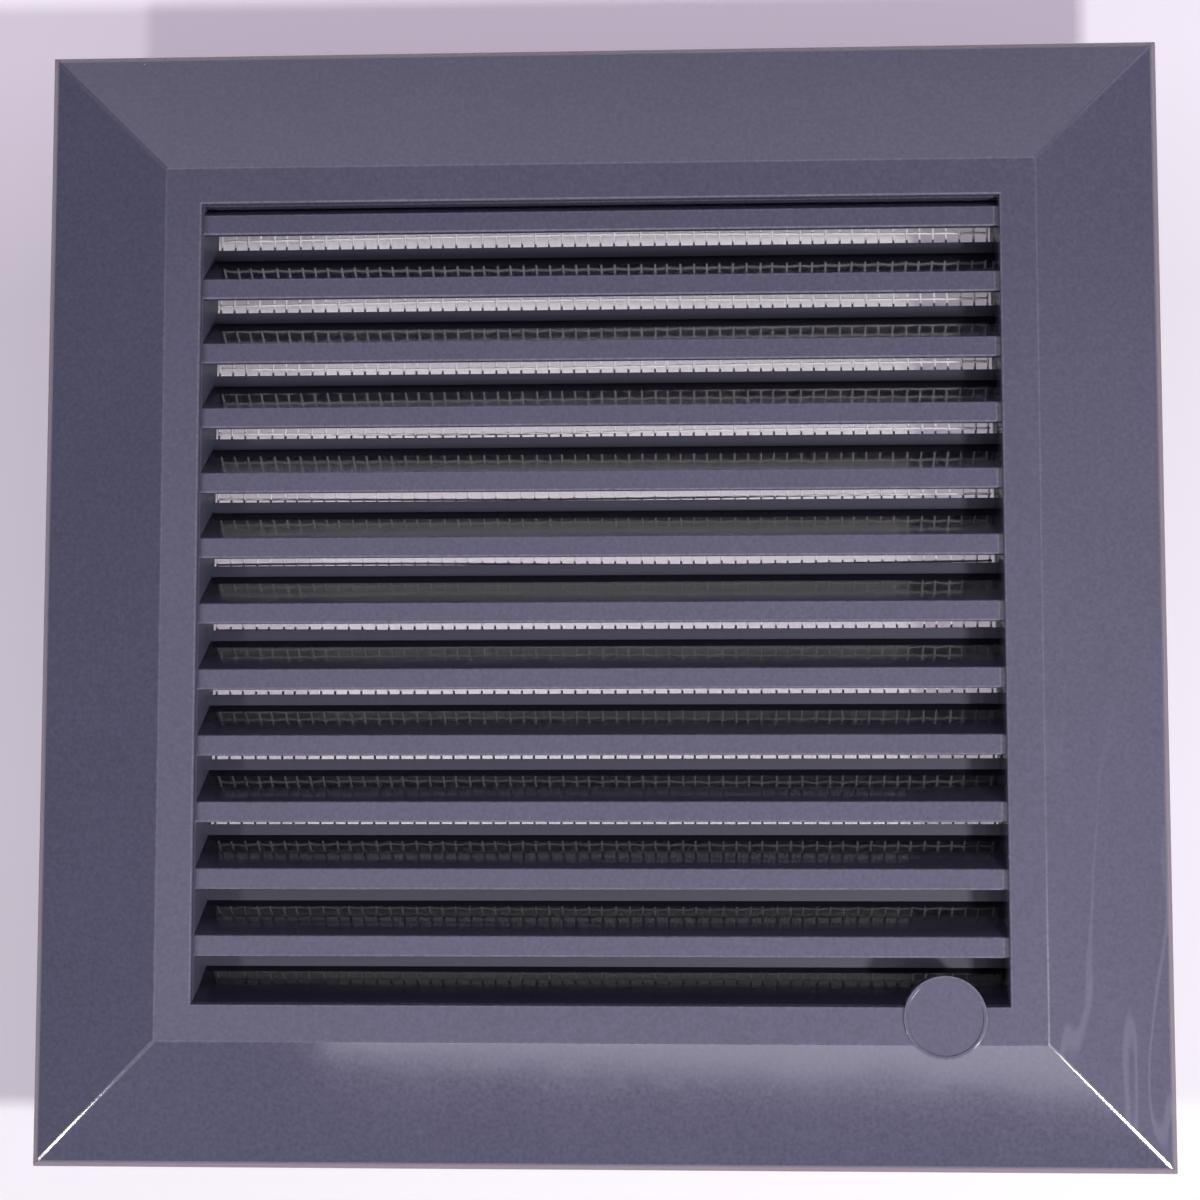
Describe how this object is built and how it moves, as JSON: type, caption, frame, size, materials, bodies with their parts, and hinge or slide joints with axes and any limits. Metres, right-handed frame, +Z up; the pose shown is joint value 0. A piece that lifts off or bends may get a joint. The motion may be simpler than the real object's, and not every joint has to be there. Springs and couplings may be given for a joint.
{
  "type": "louvred vent",
  "caption": "Square moulded wall vent with a mitred bevelled border, level louvre slats that shed rain, an insect mesh behind them and a square collar for the wall hole.",
  "frame": {"origin": "middle of the wall plane, which is the back of the flange's rim", "axes": "+Z up as hung on a wall, +Y into the wall along the collar, the louvred face looks along -Y"},
  "size_m": [0.165, 0.0267, 0.165],
  "materials": {
    "grille_plastic": "semi-gloss moulded anthracite",
    "mesh_thread": "coated light grey thread"
  },
  "bodies": {
    "root": {"louvre_grille": "grille_plastic", "insect_mesh": "mesh_thread"}
  },
  "joints": []
}
